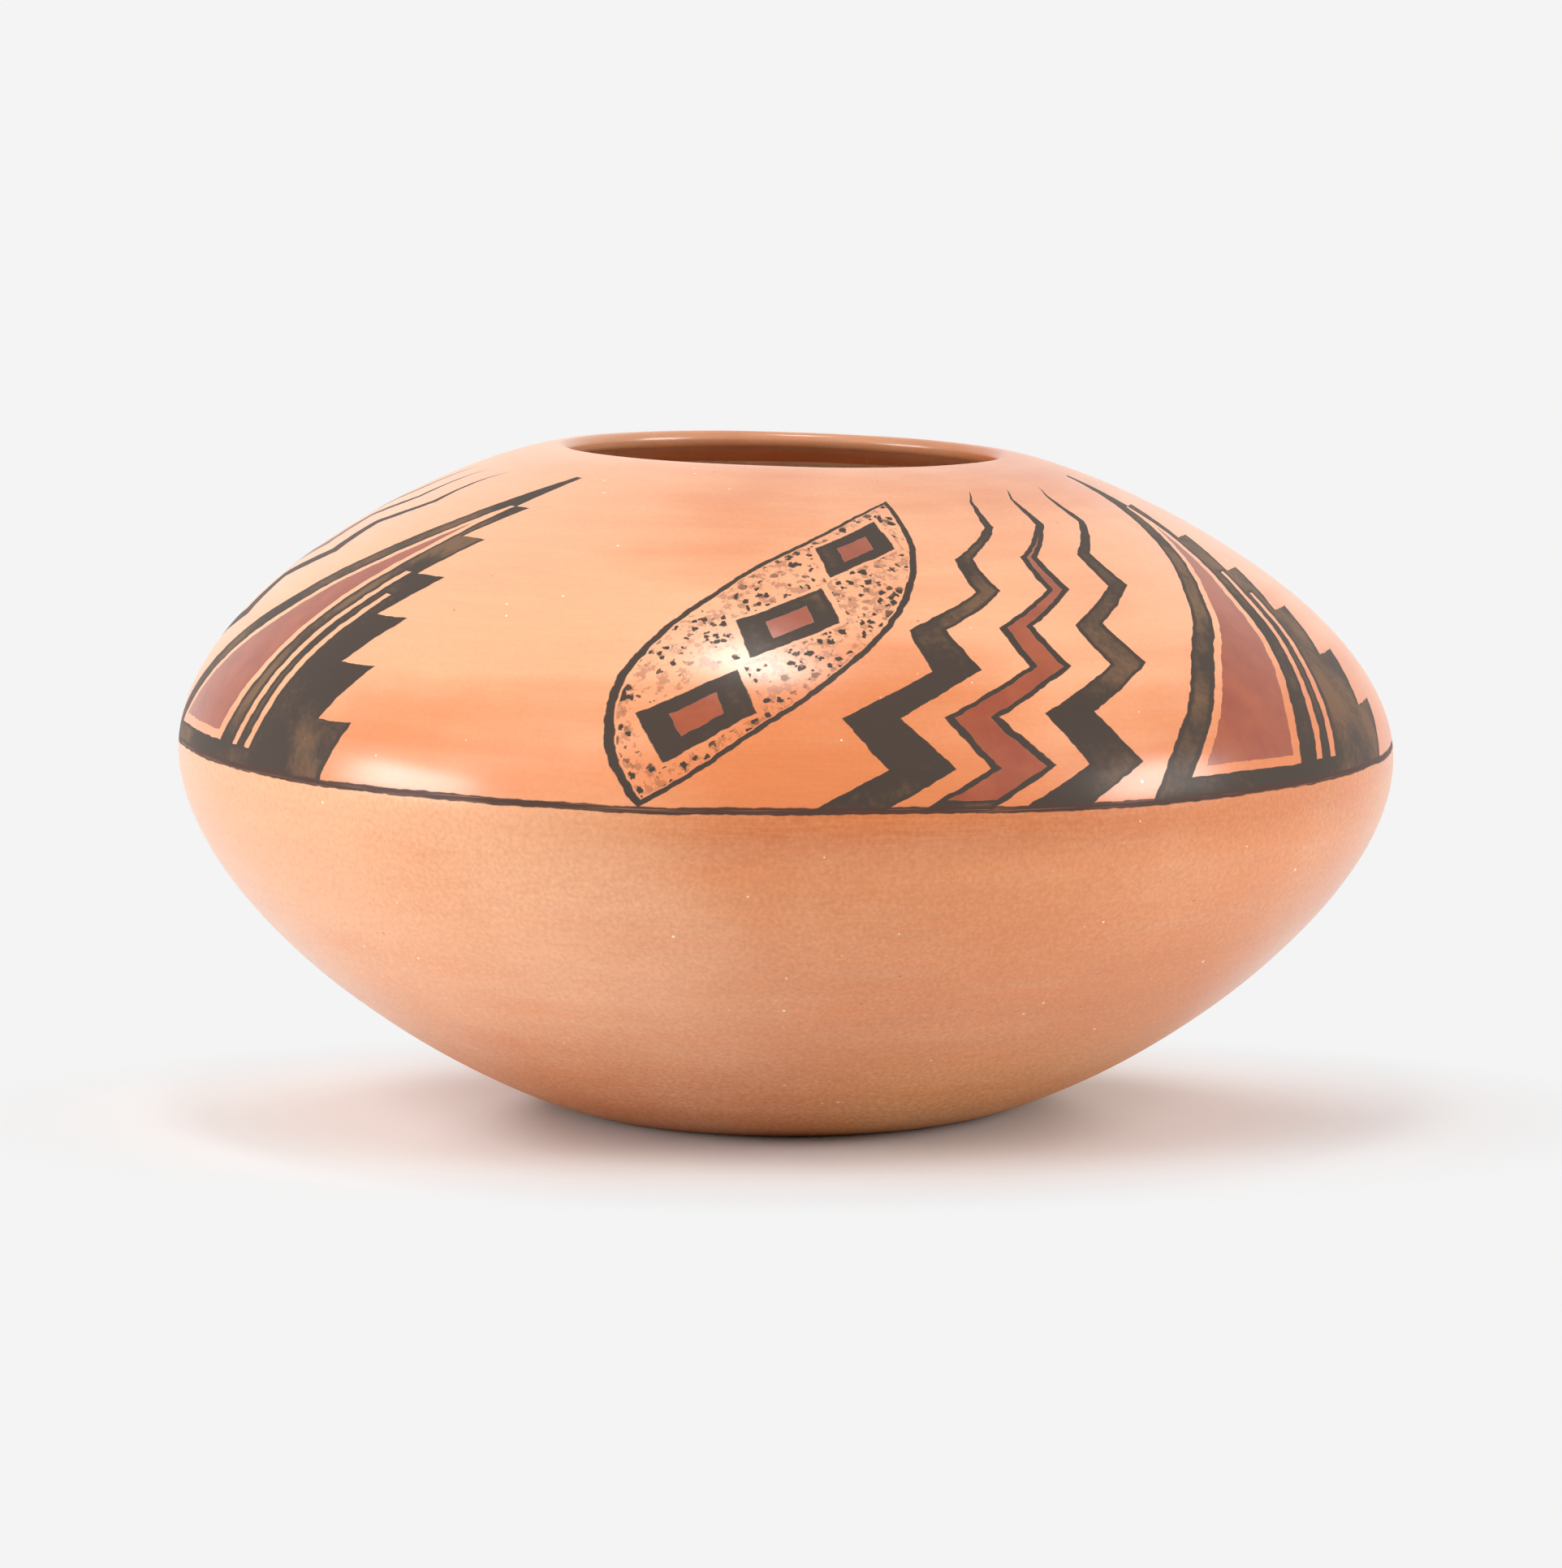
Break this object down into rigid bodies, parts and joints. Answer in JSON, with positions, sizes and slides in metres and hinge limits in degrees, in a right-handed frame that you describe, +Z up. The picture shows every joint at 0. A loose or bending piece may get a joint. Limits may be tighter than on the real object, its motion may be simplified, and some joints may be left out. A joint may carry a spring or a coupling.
{
  "type": "pottery jar",
  "caption": "Low, wide-bellied jar of fired clay with a flat rest, a sharply turned-in shoulder and a round open mouth, coiled up from a base pat.",
  "frame": {"origin": "centre of the flat that the jar rests on, on the surface it stands on", "axes": "+Z up through the mouth; +X to the right as the picture sees the jar, the way the rim dips; -Y towards the picture's viewpoint"},
  "size_m": [0.28, 0.28, 0.1528],
  "materials": {
    "fired_clay": "satin"
  },
  "bodies": {
    "root": {"base_pat": "fired_clay", "wall_coil_1": "fired_clay", "wall_coil_2": "fired_clay", "wall_coil_3": "fired_clay", "wall_coil_4": "fired_clay", "wall_coil_5": "fired_clay", "wall_coil_6": "fired_clay", "wall_coil_7": "fired_clay", "wall_coil_8": "fired_clay", "rim_coil": "fired_clay"}
  },
  "joints": []
}
